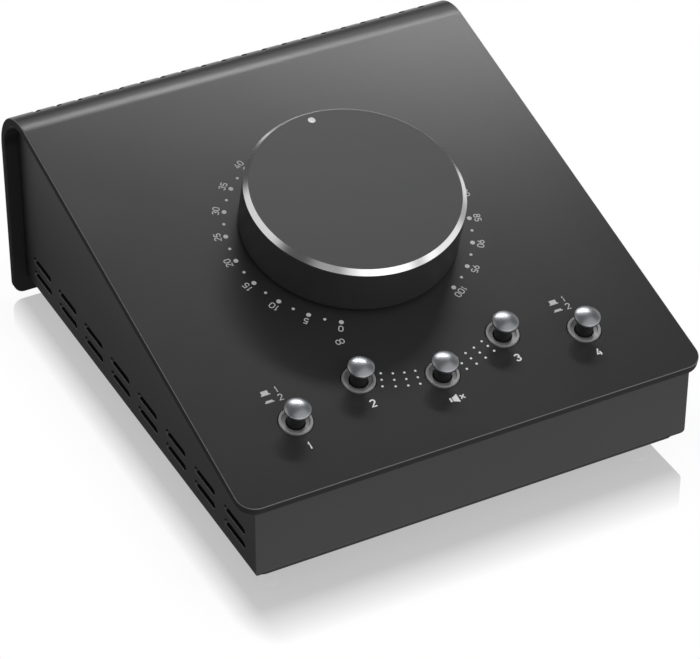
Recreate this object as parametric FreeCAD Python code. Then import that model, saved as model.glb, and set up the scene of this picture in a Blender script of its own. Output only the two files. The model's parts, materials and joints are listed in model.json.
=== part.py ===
import FreeCAD, Part
import math
import os

Vec = FreeCAD.Vector

# Desktop studio monitor controller. X is its width, +Y points to its back, +Z is up.
# Z = 0 is the desk, and the origin is under the middle of the whole object.

# Top cover: one bent sheet, the sloped panel and the rear flap
cover_width = 134.0
cover_depth = 150.2
cover_thickness = 2.5
front_height = 30.4
panel_slope = 14.75
bend_radius = 14.4
panel_corner = 5.0
flap_corner = 3.0
flap_height = 1.9

# Lower case, bottom plate and feet
case_inset_side = 3.75
case_inset_front = 1.75
case_wall = 1.5
case_edge_radius = 2.2
case_rear_gap = 0.3
flange_width = 9.0
plate_thickness = 1.0
plate_inset = 2.0
plate_corner = 2.0
foot_height = 5.2
foot_radius = 6.0
foot_chamfer = 1.0
foot_from_side = 20.25
foot_from_front = 26.0
foot_from_rear = 26.2

# Vent slots in the two sides and across the rear bend
side_vent_count = 8
side_vent_length = 11.7
side_vent_height = 1.9
side_vent_from_front = 13.6
side_vent_from_rear = 15.15
side_vent_row = 12.7
side_vent_row_gap = 4.5
bend_vent_count = 20
bend_vent_from_side = 7.96
bend_vent_width = 1.9
bend_vent_start_angle = 54.0
bend_vent_flap_length = 3.0

# Posts that join the cover to the case, and their screws
post_radius = 3.2
post_from_side = 8.25
post_from_front = 11.0
post_board_gap = 1.5
screw_radius = 1.5
screw_head_radius = 2.75
screw_head_height = 1.9
screw_engagement = 7.0
screw_head_round = 0.65
screw_hole_play = 0.2
screw_hole_spare = 1.0
recess_width = 0.9
recess_length = 3.2
recess_depth = 1.0

# Main board, hung under the panel
board_depth = 13.5
board_thickness = 1.6
board_post_gap = 3.3
board_start = 6.5
board_from_rear = 42.86
standoff_radius = 2.75
standoff_inset_side = 4.0
standoff_inset = 4.2
board_screw_engagement = 5.0

# Push buttons: five across the panel, the second and fourth further up the slope
button_names = ("source", "mono", "mute", "dim", "monitor")
button_from_side = 24.8
button_row_low = 21.5
button_row_high = 27.8
button_travel = 2.5
collar_radius = 4.47
collar_gap = 0.25
collar_proud = 0.4
collar_rim_width = 0.8
collar_step_depth = 0.5
collar_step_width = 0.35
collar_step_draft = 0.1
collar_chamfer = 0.15
collar_throat_play = 0.6
collar_depth = 3.2
cap_radius = 3.5
cap_bottom_radius = 2.7
cap_bottom = 3.9
cap_bevel_height = 0.8
cap_band_height = 0.8
cap_dome_radius = 3.25
cap_dome_height = 1.35
cap_flat_radius = 0.2
cap_bore_depth = 1.8
plunger_radius = 2.25
plunger_play = 0.07
plunger_flange_radius = 3.2
plunger_flange_thickness = 1.2
plunger_tail_radius = 1.2
switch_width = 9.0
switch_wall = 0.8
switch_cap_thickness = 1.5
spring_wire = 0.45
spring_radius = 2.2

# Volume knob on its shaft
knob_from_front = 75.4
knob_radius = 29.6
knob_gap = 1.0
knob_body_top = 14.4
knob_wall = 2.4
knob_edge = 0.4
knob_rim_radius = 28.3
knob_top = 15.8
knob_face_recess = 0.15
knob_rim_lip = 0.3
dimple_radius = 1.1
dimple_depth = 0.5
dimple_from_centre = 26.0
knob_web_thickness = 2.0
hub_radius = 6.5
hub_bottom = 5.6
grub_radius = 1.5
grub_height = 8.4
grub_key = 1.5

# Volume control behind the knob
shaft_radius = 3.0
shaft_play = 0.05
shaft_top = 12.2
bushing_radius = 4.5
bushing_top = 4.4
bushing_hole_play = 0.2
control_radius = 12.0
control_plate = 2.0
control_wall = 0.8
track_thickness = 1.0
track_play = 0.1
wiper_radius = 9.0
wiper_thickness = 1.2
wiper_gap = 0.35
wiper_arm_width = 2.0
shaft_collar_radius = 5.0
shaft_collar_thickness = 1.2
shaft_tail_radius = 2.0
shaft_tail_clearance = 1.0
end_play = 0.3
nut_across = 13.0
nut_thickness = 2.2
washer_radius = 7.5
washer_thickness = 0.7

# Jack sockets in the rear flap, two rows of four
jack_columns = 4
jack_from_side = 21.25
jack_row_low = 17.0
jack_row_gap = 21.0
jack_bore_radius = 3.25
jack_bore_depth = 19.0
jack_bushing_radius = 4.7
jack_bushing_play = 0.15
jack_body_width = 16.0
jack_body_height = 15.0
jack_body_depth = 21.0
jack_nut_across = 13.0
jack_nut_thickness = 2.2
jack_washer_radius = 6.9
jack_washer_thickness = 0.7
jack_thread_proud = 0.6
jack_board_margin = 2.0

# Flat ribbon cable between the boards, and its two sockets
ribbon_width = 25.4
ribbon_thickness = 1.0
ribbon_bend = 6.0
ribbon_socket_length = 30.0
ribbon_socket_width = 6.0
ribbon_socket_height = 6.0
ribbon_from_rear = 10.0
ribbon_rear_height = 21.0

# Play between pieces that are fitted together and don't move
seat_play = 0.05

# Places worked out from the sizes above
slope = math.radians(panel_slope)
jack_proud = jack_washer_thickness + jack_nut_thickness + jack_thread_proud
y_front = -(cover_depth + jack_proud) / 2
y_rear = y_front + cover_depth
y_flap = y_rear - cover_thickness
case_bottom = foot_height + plate_thickness
case_half_width = cover_width / 2 - case_inset_side
case_front = y_front + case_inset_front
case_rear = y_flap - case_rear_gap
jack_board_front = y_flap - jack_body_depth - board_thickness
jack_pitch = 2 * (case_half_width - jack_from_side) / (jack_columns - 1)
foot_x = case_half_width - foot_from_side
post_x = case_half_width - post_from_side
post_front = y_front + post_from_front
post_rear = jack_board_front - post_board_gap - post_radius
board_width = 2 * (post_x - post_radius - board_post_gap)
board_length = (cover_depth - board_from_rear) / math.cos(slope) - board_start
standoff_x = board_width / 2 - standoff_inset_side
side_vent_pitch = (cover_depth - side_vent_from_front - side_vent_from_rear) / (side_vent_count - 1)
bend_vent_pitch = (cover_width - 2 * bend_vent_from_side) / (bend_vent_count - 1)
board_top = -board_depth
board_bottom = board_top - board_thickness
far = 400.0

# Each button as (name, across, up the slope)
button_pitch = (cover_width - 2 * button_from_side) / (len(button_names) - 1)
buttons = []
for k, name in enumerate(button_names):
    up = button_row_high if k % 2 else button_row_low
    buttons.append((name, (k - (len(button_names) - 1) / 2) * button_pitch, up))


# Basic solids
def box(x0, x1, y0, y1, z0, z1):
    return Part.makeBox(x1 - x0, y1 - y0, z1 - z0, Vec(x0, y0, z0))


def rod(radius, z0, z1, x=0.0, y=0.0):
    return Part.makeCylinder(radius, z1 - z0, Vec(x, y, z0))


def cone(radius0, radius1, z0, z1, x=0.0, y=0.0):
    return Part.makeCone(radius0, radius1, z1 - z0, Vec(x, y, z0))


def hexagon(across, z0, z1):
    corner = across / math.sqrt(3)
    points = [Vec(corner * math.cos(k * math.pi / 3), corner * math.sin(k * math.pi / 3), z0) for k in range(7)]
    return Part.Face(Part.makePolygon(points)).extrude(Vec(0, 0, z1 - z0))


def turned(points):
    # A solid of revolution about Z from (radius, height) points
    outline = Part.makePolygon([Vec(r, 0, z) for r, z in points + points[:1]])
    return Part.Face(outline).revolve(Vec(0, 0, 0), Vec(0, 0, 1), 360)


def extruded_across(edges, half_width):
    # A closed outline in the YZ plane at X = 0, carried to both sides
    face = Part.Face(Part.Wire(edges))
    face.translate(Vec(-half_width, 0, 0))
    return face.extrude(Vec(2 * half_width, 0, 0))


def moved(shape, x=0.0, y=0.0, z=0.0):
    copy = shape.copy()
    copy.translate(Vec(x, y, z))
    return copy


def joined(shapes):
    return shapes[0] if len(shapes) == 1 else shapes[0].multiFuse(shapes[1:])


def edges_at(shape, test):
    # The straight edges whose two ends both pass the test
    found = []
    for edge in shape.Edges:
        ends = [vertex.Point for vertex in edge.Vertexes]
        if len(ends) == 2 and all(test(p) for p in ends):
            found.append(edge)
    return found


def near(a, b):
    return abs(a - b) < 0.01


def corner_points():
    return [(side * post_x, y) for side in (-1, 1) for y in (post_front, post_rear)]


# Panel places: X across, Y up the slope from the cover's front edge, Z out of the panel's top face
def on_panel(shape, x=0.0, y=0.0):
    copy = moved(shape, x, y)
    copy.rotate(Vec(0, 0, 0), Vec(1, 0, 0), panel_slope)
    copy.translate(Vec(0, y_front, front_height))
    return copy


def panel_point(y, z):
    # (Y, Z) of a place on the panel, in the object's own frame
    run = y_front + y * math.cos(slope) - z * math.sin(slope)
    rise = front_height + y * math.sin(slope) + z * math.cos(slope)
    return run, rise


def on_rear(shape, x, z):
    # A shape drawn with Z as its outward axis, stood on the flap's inner face
    copy = shape.copy()
    copy.rotate(Vec(0, 0, 0), Vec(1, 0, 0), -90)
    copy.translate(Vec(x, y_flap, z))
    return copy


def bend(depth, shift=0.0):
    # Centre and arc ends of the rear bend, depth inside the outer face, moved forward by shift
    centre_y = y_rear - shift - bend_radius
    radius = bend_radius - depth
    centre_z = front_height + (centre_y - y_front) * math.tan(slope) - bend_radius / math.cos(slope)

    def at(angle):
        return Vec(0, centre_y + radius * math.cos(angle), centre_z + radius * math.sin(angle))

    top = math.pi / 2 + slope
    return Vec(0, centre_y, centre_z), at(top), at(top / 2), at(0)


def top_cover():
    _, outer_top, outer_middle, outer_rear = bend(0)
    _, inner_top, inner_middle, inner_rear = bend(cover_thickness)
    edge_top = Vec(0, y_front, front_height)
    edge_low = Vec(0, *panel_point(0, -cover_thickness))
    low_outer = Vec(0, y_rear, flap_height)
    low_inner = Vec(0, y_flap, flap_height)
    sheet = extruded_across(
        [
            Part.makeLine(edge_top, outer_top),
            Part.Arc(outer_top, outer_middle, outer_rear).toShape(),
            Part.makeLine(outer_rear, low_outer),
            Part.makeLine(low_outer, low_inner),
            Part.makeLine(low_inner, inner_rear),
            Part.Arc(inner_rear, inner_middle, inner_top).toShape(),
            Part.makeLine(inner_top, edge_low),
            Part.makeLine(edge_low, edge_top),
        ],
        cover_width / 2,
    )
    front_limit = max(edge_top.y, edge_low.y) + 0.01
    corners = edges_at(sheet, lambda p: near(abs(p.x), cover_width / 2) and p.y < front_limit)
    sheet = sheet.makeFillet(panel_corner, [e for e in corners if near(e.Length, cover_thickness)])
    low = edges_at(sheet, lambda p: near(abs(p.x), cover_width / 2) and near(p.z, flap_height))
    sheet = sheet.makeFillet(flap_corner, [e for e in low if near(e.Length, cover_thickness)])
    holes = [on_panel(rod(collar_radius + collar_gap, -far, far), x, y) for _, x, y in buttons]
    bushing_hole = rod(bushing_radius + bushing_hole_play, -2 * cover_thickness, cover_thickness)
    holes.append(on_panel(bushing_hole, 0, knob_from_front))
    jack_hole = rod(jack_bushing_radius + jack_bushing_play, -cover_thickness, 2 * cover_thickness)
    holes += [on_rear(jack_hole, x, z) for x, z in jack_places()]
    return sheet.cut(holes + bend_vents())


def bend_vents():
    # Narrow slots over the rear bend, each from a place on the curve down to the top of the flap
    centre, _, _, _ = bend(0)
    start = math.radians(bend_vent_start_angle)
    reach = 2 * bend_radius
    top = Vec(0, centre.y + reach * math.cos(start), centre.z + reach * math.sin(start))
    right = centre.y + reach
    bottom = centre.z - bend_vent_flap_length
    points = [centre, top, Vec(0, right, top.z), Vec(0, right, bottom), Vec(0, centre.y, bottom), centre]
    slot = extruded_across([Part.makeLine(a, b) for a, b in zip(points, points[1:])], bend_vent_width / 2)
    round_top = Part.makeCylinder(bend_vent_width / 2, reach, centre, top - centre)
    round_low = Part.makeCylinder(bend_vent_width / 2, reach, Vec(0, centre.y, bottom), Vec(0, 1, 0))
    tool = joined([slot, round_top, round_low])
    first = -(bend_vent_count - 1) / 2 * bend_vent_pitch
    return [moved(tool, first + k * bend_vent_pitch) for k in range(bend_vent_count)]


def case_block(wall):
    # The space under the cover, shrunk by a wall at the front, the sides and the bottom
    _, top, middle, rear = bend(cover_thickness, case_rear_gap)
    front = case_front + wall
    bottom = case_bottom + wall
    under_front = front_height + (front - y_front) * math.tan(slope) - cover_thickness / math.cos(slope)
    front_top = Vec(0, front, under_front)
    front_low = Vec(0, front, bottom)
    rear_low = Vec(0, rear.y, bottom)
    edges = [
        Part.makeLine(front_top, top),
        Part.Arc(top, middle, rear).toShape(),
        Part.makeLine(rear, rear_low),
        Part.makeLine(rear_low, front_low),
        Part.makeLine(front_low, front_top),
    ]
    return extruded_across(edges, case_half_width - wall)


def lower_case():
    outer = case_block(0)
    base = edges_at(outer, lambda p: near(p.z, case_bottom))
    outer = outer.makeFillet(case_edge_radius, [e for e in base if not near(e.CenterOfMass.y, case_rear)])
    inner = case_block(case_wall)
    inner = joined([inner, moved(inner, 0, 0, 3 * case_wall), moved(inner, 0, 3 * case_wall)])
    inside = case_half_width - flange_width
    opening = box(-inside, inside, case_front + flange_width, case_rear - flange_width, 0, case_bottom + 2 * case_wall)
    holes = [rod(screw_radius + screw_hole_play, 0, 2 * case_bottom, x, y) for x, y in corner_points()]
    return outer.cut([inner, opening] + holes + side_vents())


def side_vents():
    radius = side_vent_height / 2
    straight = side_vent_length / 2 - radius
    slots = []
    for row in range(2):
        z = side_vent_row + row * side_vent_row_gap
        for k in range(side_vent_count):
            y = y_front + side_vent_from_front + k * side_vent_pitch
            slots.append(box(-far, far, y - straight, y + straight, z - radius, z + radius))
            for end in (y - straight, y + straight):
                slots.append(Part.makeCylinder(radius, 2 * far, Vec(-far, end, z), Vec(1, 0, 0)))
    return slots


def bottom_plate():
    half = case_half_width - plate_inset
    plate = box(-half, half, case_front + plate_inset, case_rear, foot_height, case_bottom)
    upright = [e for e in plate.Edges if near(e.Length, plate_thickness)]
    plate = plate.makeFillet(plate_corner, upright)
    return plate.cut([rod(screw_radius + screw_hole_play, 0, 2 * case_bottom, x, y) for x, y in corner_points()])


def rubber_feet():
    foot = turned(
        [
            (0, 0),
            (foot_radius - foot_chamfer, 0),
            (foot_radius, foot_chamfer),
            (foot_radius, foot_height),
            (0, foot_height),
        ]
    )
    rows = (y_front + foot_from_front, y_rear - foot_from_rear)
    return [moved(foot, side * foot_x, y) for side in (-1, 1) for y in rows]


def cover_posts(y):
    # Round posts under the cover, cut to its slope, tapped from below
    floor = case_bottom + case_wall
    post = rod(post_radius, floor, far, 0, y)
    under = box(-far, far, -far, far, -cover_thickness, far)
    hole = rod(screw_radius + seat_play, 0, floor + screw_engagement + screw_hole_spare, 0, y)
    post = post.cut([on_panel(under), hole])
    return [moved(post, side * post_x) for side in (-1, 1)]


def pan_screw(length):
    # Drawn head down: the head is under Z = 0 and the thread points up
    head = rod(screw_head_radius, -screw_head_height, 0)
    rim = [e for e in head.Edges if near(e.CenterOfMass.z, -screw_head_height)]
    head = head.makeFillet(screw_head_round, rim)
    half_width = recess_width / 2
    half_length = recess_length / 2
    bottom = -screw_head_height
    along = box(-half_length, half_length, -half_width, half_width, bottom, bottom + recess_depth)
    across = box(-half_width, half_width, -half_length, half_length, bottom, bottom + recess_depth)
    return head.fuse(rod(screw_radius, 0, length)).cut([along, across])


def case_screws():
    screw = pan_screw(plate_thickness + case_wall + screw_engagement)
    return [moved(screw, x, y, foot_height) for x, y in corner_points()]


# Main board and what stands on it
def standoff_points():
    rows = (board_start + standoff_inset, board_start + board_length - standoff_inset)
    return [(side * standoff_x, row) for side in (-1, 1) for row in rows]


def main_board():
    half = board_width / 2
    board = box(-half, half, board_start, board_start + board_length, board_bottom, board_top)
    tail_hole = rod(shaft_tail_radius + shaft_tail_clearance, board_bottom, board_top, 0, knob_from_front)
    holes = [rod(screw_radius + screw_hole_play, board_bottom, board_top, x, y) for x, y in standoff_points()]
    return on_panel(board.cut(holes + [tail_hole]))


def board_standoffs():
    bore = rod(screw_radius + seat_play, board_top, board_top + board_screw_engagement + screw_hole_spare)
    standoff = hexagon(2 * standoff_radius, board_top, -cover_thickness).cut(bore)
    return [on_panel(standoff, x, y) for x, y in standoff_points()]


def board_screws():
    screw = moved(pan_screw(board_thickness + board_screw_engagement), 0, 0, board_bottom)
    return [on_panel(screw, x, y) for x, y in standoff_points()]


# Push buttons, each drawn about its own axis
collar_bottom = -collar_depth
switch_top = collar_bottom
cavity_top = switch_top - switch_cap_thickness
cavity_floor = board_top + switch_wall
flange_top = cavity_top
flange_bottom = flange_top - plunger_flange_thickness
spring_top = flange_bottom - button_travel
tail_bottom = cavity_floor + button_travel + end_play


def collar():
    top = collar_proud
    rim_inner = collar_radius - collar_rim_width
    step_inner = rim_inner - collar_step_width
    throat = plunger_radius + collar_throat_play
    return turned(
        [
            (collar_radius, collar_bottom),
            (collar_radius, top - collar_chamfer),
            (collar_radius - collar_chamfer, top),
            (rim_inner, top),
            (rim_inner - collar_step_draft, top - collar_step_depth),
            (step_inner, top - collar_step_depth),
            (throat, collar_bottom),
        ]
    )


def cap():
    # Mushroom cap: bevel, straight band, narrow step and a domed top with a small flat at its middle
    bevel_top = cap_bottom + cap_bevel_height
    band_top = bevel_top + cap_band_height
    dome_low = band_top + cap_radius - cap_dome_radius
    sphere_radius = (cap_dome_radius**2 + cap_dome_height**2) / (2 * cap_dome_height)
    centre = dome_low + cap_dome_height - sphere_radius

    def on_dome(radius):
        return Vec(radius, 0, centre + math.sqrt(sphere_radius**2 - radius**2))

    low = on_dome(cap_dome_radius)
    high = on_dome(cap_flat_radius)
    points = [
        Vec(0, 0, high.z),
        Vec(0, 0, cap_bottom),
        Vec(cap_bottom_radius, 0, cap_bottom),
        Vec(cap_radius, 0, bevel_top),
        Vec(cap_radius, 0, band_top),
        low,
    ]
    edges = [Part.makeLine(a, b) for a, b in zip(points, points[1:])]
    edges += [Part.Arc(low, on_dome(cap_radius / 2), high).toShape(), Part.makeLine(high, points[0])]
    body = Part.Face(Part.Wire(edges)).revolve(Vec(0, 0, 0), Vec(0, 0, 1), 360)
    return body.cut(rod(plunger_radius + seat_play, cap_bottom, cap_bottom + cap_bore_depth))


def plunger():
    stem = rod(plunger_radius, flange_bottom, cap_bottom + cap_bore_depth - seat_play)
    flange = rod(plunger_flange_radius, flange_bottom, flange_top)
    tail = rod(plunger_tail_radius, tail_bottom, flange_bottom)
    return joined([stem, flange, tail])


def switch_body():
    half = switch_width / 2
    body = box(-half, half, -half, half, board_top, switch_top)
    cavity = rod(half - switch_wall, cavity_floor, cavity_top)
    guide = rod(plunger_radius + plunger_play, cavity_top, switch_top)
    return body.cut([cavity, guide])


def return_spring():
    # The outer shape of the coil, at the length that it has with its button pressed
    top = spring_top - end_play
    coil = rod(spring_radius + spring_wire / 2, cavity_floor, top)
    return coil.cut(rod(spring_radius - spring_wire / 2, cavity_floor, top))


# Volume knob and control, drawn about the knob's axis
def knob_body():
    inner = knob_radius - knob_wall
    ceiling = knob_body_top - knob_web_thickness
    return turned(
        [
            (knob_radius, knob_gap + knob_edge),
            (knob_radius, knob_body_top),
            (hub_radius + seat_play, knob_body_top),
            (hub_radius + seat_play, hub_bottom),
            (hub_radius + knob_wall, hub_bottom),
            (hub_radius + knob_wall, ceiling),
            (inner, ceiling),
            (inner, knob_gap),
            (knob_radius - knob_edge, knob_gap),
        ]
    ).cut(grub_bore())


def grub_bore():
    return Part.makeCylinder(grub_radius + seat_play, far, Vec(0, 0, grub_height), Vec(0, 1, 0))


def knob_ring():
    inner = knob_rim_radius - knob_rim_lip
    return turned(
        [
            (inner, knob_body_top),
            (knob_radius, knob_body_top),
            (knob_rim_radius, knob_top),
            (inner, knob_top),
        ]
    )


def knob_face():
    top = knob_top - knob_face_recess
    disc = rod(knob_rim_radius - knob_rim_lip - seat_play, knob_body_top, top)
    dimple = cone(dimple_radius * 0.7, dimple_radius, top - dimple_depth, top, 0, dimple_from_centre)
    return disc.cut(dimple)


def knob_hub():
    hub = rod(hub_radius, hub_bottom, knob_body_top)
    bore = rod(shaft_radius + seat_play, hub_bottom, shaft_top + seat_play)
    return hub.cut([bore, grub_bore()])


def grub_screw():
    start = shaft_radius + seat_play
    length = hub_radius + knob_wall - start
    screw = Part.makeCylinder(grub_radius, length, Vec(0, start, grub_height), Vec(0, 1, 0))
    key = hexagon(grub_key, 0, 2 * grub_key)
    key.rotate(Vec(0, 0, 0), Vec(1, 0, 0), -90)
    return screw.cut(moved(key, 0, start + length - grub_key, grub_height))


control_top = -cover_thickness
control_cavity_top = control_top - control_plate
track_top = board_top + control_wall + track_thickness
collar_top_z = control_cavity_top - end_play
collar_low_z = collar_top_z - shaft_collar_thickness
wiper_top = collar_low_z
wiper_low = wiper_top - wiper_thickness


def control_housing():
    plate = rod(control_radius, control_cavity_top, control_top)
    bushing = rod(bushing_radius, control_top, bushing_top)
    return plate.fuse(bushing).cut(rod(shaft_radius + shaft_play, control_cavity_top, bushing_top))


def control_can():
    can = rod(control_radius, board_top, control_cavity_top)
    return can.cut(rod(control_radius - control_wall, board_top + control_wall, control_cavity_top))


def resistive_track():
    disc = rod(control_radius - control_wall - track_play, board_top + control_wall, track_top)
    return disc.cut(rod(shaft_tail_radius + end_play, board_top, track_top))


def control_shaft():
    shaft = rod(shaft_radius, collar_top_z, shaft_top)
    collar_part = rod(shaft_collar_radius, collar_low_z, collar_top_z)
    tail = rod(shaft_tail_radius, wiper_low, collar_low_z)
    return joined([shaft, collar_part, tail])


def wiper():
    disc = rod(wiper_radius, wiper_low, wiper_top)
    arm_low = track_top + wiper_gap
    half = wiper_arm_width / 2
    inner = wiper_radius - 2 * wiper_arm_width
    outer = wiper_radius - wiper_thickness / 2
    arms = [box(-half, half, start, end, arm_low, wiper_low) for start, end in ((inner, outer), (-outer, -inner))]
    return joined([disc] + arms).cut(rod(shaft_tail_radius + seat_play, wiper_low, wiper_top))


def control_washer():
    return rod(washer_radius, 0, washer_thickness).cut(rod(bushing_radius + seat_play, 0, washer_thickness))


def control_nut():
    top = washer_thickness + nut_thickness
    nut = hexagon(nut_across, washer_thickness, top)
    return nut.cut(rod(bushing_radius + seat_play, washer_thickness, top))


# Rear jack sockets, drawn with Z outwards from the flap's inner face
def jack_places():
    first = -(jack_columns - 1) / 2 * jack_pitch
    rows = (jack_row_low, jack_row_low + jack_row_gap)
    return [(first + k * jack_pitch, z) for z in rows for k in range(jack_columns)]


def jack_socket():
    half = jack_body_width / 2
    tall = jack_body_height / 2
    thread_top = cover_thickness + jack_proud
    body = box(-half, half, -tall, tall, -jack_body_depth, 0)
    bushing = rod(jack_bushing_radius, 0, thread_top)
    return body.fuse(bushing).cut(rod(jack_bore_radius, thread_top - jack_bore_depth, thread_top))


def jack_washer():
    top = cover_thickness + jack_washer_thickness
    hole = rod(jack_bushing_radius + seat_play, cover_thickness, top)
    return rod(jack_washer_radius, cover_thickness, top).cut(hole)


def jack_nut():
    low = cover_thickness + jack_washer_thickness
    top = low + jack_nut_thickness
    nut = hexagon(jack_nut_across, low, top)
    return nut.cut(rod(jack_bushing_radius + seat_play, low, top))


def jack_board():
    half_width = (jack_columns - 1) / 2 * jack_pitch + jack_body_width / 2 + jack_board_margin
    low = jack_row_low - jack_body_height / 2
    high = jack_row_low + jack_row_gap + jack_body_height / 2 + jack_board_margin
    back = jack_board_front + board_thickness
    return box(-half_width, half_width, jack_board_front, back, low, high)


# Ribbon cable from a socket under the main board to one on the jack board
ribbon_on_board = board_start + board_length - ribbon_from_rear


def ribbon_sockets():
    half = ribbon_socket_length / 2
    wide = ribbon_socket_width / 2
    y = ribbon_on_board
    upper = box(-half, half, y - wide, y + wide, board_bottom - ribbon_socket_height, board_bottom)
    front = jack_board_front - ribbon_socket_height
    low = ribbon_rear_height - wide
    lower = box(-half, half, front, jack_board_front, low, low + ribbon_socket_width)
    return [on_panel(upper), lower]


def ribbon_cable():
    start = Vec(0, *panel_point(ribbon_on_board, board_bottom - ribbon_socket_height))
    end = Vec(0, jack_board_front - ribbon_socket_height, ribbon_rear_height)
    down = Vec(0, math.sin(slope), -math.cos(slope))
    corner = start + down * ((start.z - end.z) / math.cos(slope))
    setback = ribbon_bend / math.tan((math.pi / 2 + slope) / 2)
    centre = Vec(0, corner.y + setback, end.z + ribbon_bend)
    middle_angle = math.pi + (math.pi / 2 - slope) / 2

    def strip_edge(radius):
        entry = centre + Vec(0, -math.cos(slope), -math.sin(slope)) * radius
        middle = centre + Vec(0, math.cos(middle_angle + slope), math.sin(middle_angle + slope)) * radius
        low = centre + Vec(0, 0, -radius)
        first = start + Vec(0, -math.cos(slope), -math.sin(slope)) * (radius - ribbon_bend)
        last = end + Vec(0, 0, ribbon_bend - radius)
        return first, entry, middle, low, last

    outer = strip_edge(ribbon_bend + ribbon_thickness / 2)
    inner = strip_edge(ribbon_bend - ribbon_thickness / 2)
    edges = [
        Part.makeLine(outer[0], outer[1]),
        Part.Arc(outer[1], outer[2], outer[3]).toShape(),
        Part.makeLine(outer[3], outer[4]),
        Part.makeLine(outer[4], inner[4]),
        Part.makeLine(inner[4], inner[3]),
        Part.Arc(inner[3], inner[2], inner[1]).toShape(),
        Part.makeLine(inner[1], inner[0]),
        Part.makeLine(inner[0], outer[0]),
    ]
    return extruded_across(edges, ribbon_width / 2)


def save(name, shape):
    solids = shape if isinstance(shape, list) else [shape]
    pieces = [solid for item in solids for solid in item.Solids]
    for piece in pieces:
        if not piece.isValid():
            print("not valid:", name)
    kept = pieces[0] if len(pieces) == 1 else Part.makeCompound(pieces)
    kept.exportStep("parts/" + name + ".step")
    print(name, len(pieces), "solids", round(kept.Volume, 1), "mm3")


os.makedirs("parts", exist_ok=True)
save("top_cover", top_cover())
save("lower_case", lower_case())
save("bottom_plate", bottom_plate())
save("rubber_feet", rubber_feet())
save("front_posts", cover_posts(post_front))
save("rear_posts", cover_posts(post_rear))
save("case_screws", case_screws())
save("main_board", main_board())
save("board_standoffs", board_standoffs())
save("board_screws", board_screws())

for name, x, y in buttons:
    save("collar_" + name, on_panel(collar(), x, y))
    save("cap_" + name, on_panel(cap(), x, y))
    save("plunger_" + name, on_panel(plunger(), x, y))
    save("switch_" + name, on_panel(switch_body(), x, y))
save("return_springs", [on_panel(return_spring(), x, y) for _, x, y in buttons])

knob_pieces = {
    "knob_body": knob_body,
    "knob_ring": knob_ring,
    "knob_face": knob_face,
    "knob_hub": knob_hub,
    "knob_grub_screw": grub_screw,
    "control_shaft": control_shaft,
    "control_wiper": wiper,
    "control_housing": control_housing,
    "control_can": control_can,
    "control_track": resistive_track,
    "control_washer": control_washer,
    "control_nut": control_nut,
}
for name, make in knob_pieces.items():
    save(name, on_panel(make(), 0, knob_from_front))

save("jack_board", jack_board())
for number, (x, z) in enumerate(jack_places(), 1):
    save("jack_socket_" + str(number), on_rear(jack_socket(), x, z))
save("jack_washers", [on_rear(jack_washer(), x, z) for x, z in jack_places()])
save("jack_nuts", [on_rear(jack_nut(), x, z) for x, z in jack_places()])
save("ribbon_sockets", ribbon_sockets())
save("ribbon_cable", ribbon_cable())

button_axis = (0, round(math.sin(slope), 6), round(-math.cos(slope), 6))
knob_y, knob_z = panel_point(knob_from_front, 0)
print("button axis", button_axis, "knob centre", round(knob_y, 4), round(knob_z, 4))
print("front", y_front, "rear", y_rear, "whole depth", cover_depth + jack_proud)
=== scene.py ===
import json
import math
import bpy
from mathutils import Matrix, Vector

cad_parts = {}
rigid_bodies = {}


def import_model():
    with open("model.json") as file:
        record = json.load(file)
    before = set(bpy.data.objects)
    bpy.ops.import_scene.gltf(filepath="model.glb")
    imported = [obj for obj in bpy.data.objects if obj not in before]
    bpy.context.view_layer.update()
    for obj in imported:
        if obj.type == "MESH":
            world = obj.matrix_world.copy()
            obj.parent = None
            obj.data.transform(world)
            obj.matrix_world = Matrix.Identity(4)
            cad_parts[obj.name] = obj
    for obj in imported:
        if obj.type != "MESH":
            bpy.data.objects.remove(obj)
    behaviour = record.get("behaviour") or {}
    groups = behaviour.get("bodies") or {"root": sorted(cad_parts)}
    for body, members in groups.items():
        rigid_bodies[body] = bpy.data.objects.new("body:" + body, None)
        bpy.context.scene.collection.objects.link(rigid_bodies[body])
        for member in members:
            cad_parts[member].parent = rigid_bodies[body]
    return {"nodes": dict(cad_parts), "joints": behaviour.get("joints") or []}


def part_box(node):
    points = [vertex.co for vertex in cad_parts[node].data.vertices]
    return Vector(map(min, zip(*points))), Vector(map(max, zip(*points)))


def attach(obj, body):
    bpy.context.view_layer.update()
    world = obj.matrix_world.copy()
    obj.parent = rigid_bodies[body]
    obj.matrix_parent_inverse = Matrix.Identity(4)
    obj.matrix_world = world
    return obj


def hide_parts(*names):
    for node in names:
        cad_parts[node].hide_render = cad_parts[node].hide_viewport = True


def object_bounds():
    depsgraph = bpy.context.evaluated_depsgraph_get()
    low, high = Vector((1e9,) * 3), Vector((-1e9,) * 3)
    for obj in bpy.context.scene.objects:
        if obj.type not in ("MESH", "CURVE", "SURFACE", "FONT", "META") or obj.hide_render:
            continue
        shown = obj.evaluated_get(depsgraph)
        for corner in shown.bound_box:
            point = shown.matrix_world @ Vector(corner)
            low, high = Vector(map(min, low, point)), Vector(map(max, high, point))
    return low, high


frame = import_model()
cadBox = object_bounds()
millimetre = 0.001

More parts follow.
